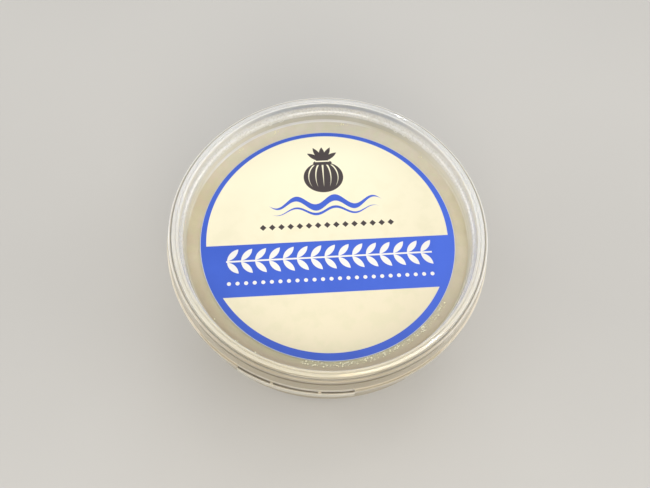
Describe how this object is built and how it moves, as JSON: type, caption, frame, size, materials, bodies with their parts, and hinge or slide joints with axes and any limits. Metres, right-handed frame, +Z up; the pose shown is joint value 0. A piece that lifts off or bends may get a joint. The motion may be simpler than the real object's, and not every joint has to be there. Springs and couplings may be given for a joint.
{
  "type": "tub of burrata",
  "caption": "Shut round see-through plastic tub of burrata, with a sunken snap-in lid, a round blue and cream label and a break-off tab in the guard ring.",
  "frame": {"origin": "middle of the tub's foot, on the surface it stands on", "axes": "+Z up along the tub's axis; the break-off tab faces -Y"},
  "size_m": [0.0998, 0.1001, 0.0559],
  "materials": {
    "tub_plastic": "frosted natural polypropylene with a soft gloss, cream contents showing through",
    "lid_plastic": "frosted natural polypropylene with a soft gloss, and damp under the panel",
    "label_paper": "coated paper, blue ring and band on cream"
  },
  "bodies": {
    "root": {"tub": "tub_plastic", "lid": "lid_plastic", "label": "label_paper"}
  },
  "joints": []
}
